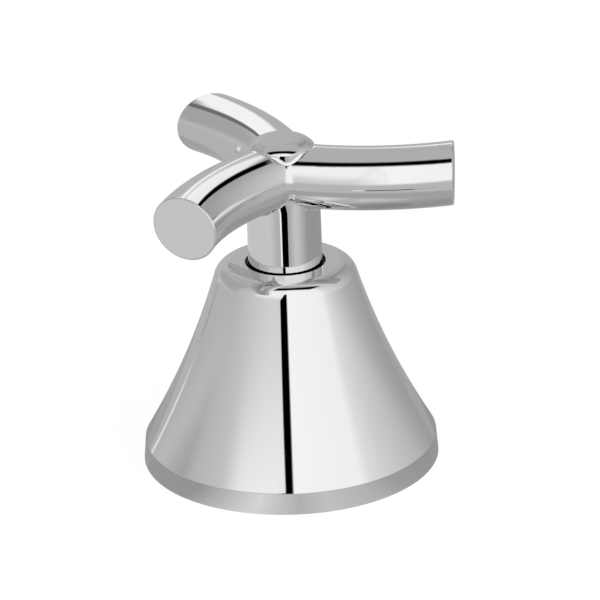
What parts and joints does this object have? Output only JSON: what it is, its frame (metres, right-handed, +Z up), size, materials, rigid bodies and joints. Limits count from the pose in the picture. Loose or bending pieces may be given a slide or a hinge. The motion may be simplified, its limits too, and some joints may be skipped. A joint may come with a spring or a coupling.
{
  "type": "tap handle with bell flange",
  "caption": "Chrome tap handle with swirled oval arms on a short stem, turning in a flared bell flange; fits over a splined valve spindle and screws to the valve body.",
  "frame": {"origin": "centre of the base rim's underside, on the stem's axis: the centre of the tap hole in the deck", "axes": "+Z up along the stem, +X the direction in which the first arm leaves the hub"},
  "size_m": [0.0646, 0.0647, 0.0683],
  "materials": {
    "chrome_plate": "bright polished chrome plate",
    "brass": "machined brass",
    "steel": "plain steel",
    "black_nylon": "moulded nylon",
    "white_acetal": "moulded acetal",
    "black_rubber": "moulded rubber"
  },
  "bodies": {
    "flange": {"bell_flange": "chrome_plate", "base_seal": "black_rubber", "neck_bush": "black_nylon", "fixing_sleeve": "brass"},
    "handle": {"handle_casting": "chrome_plate", "index_cap": "chrome_plate", "cap_o_ring": "black_rubber", "handle_screw": "steel", "lock_washer": "steel", "spline_insert": "brass", "thrust_washer": "white_acetal", "retaining_clip": "steel"}
  },
  "joints": [
    {"name": "handle_turn", "type": "hinge", "parent": "flange", "child": "handle", "pos_m": [0, 0, 0.0366], "axis": [0, 0, 1], "continuous": true}
  ]
}
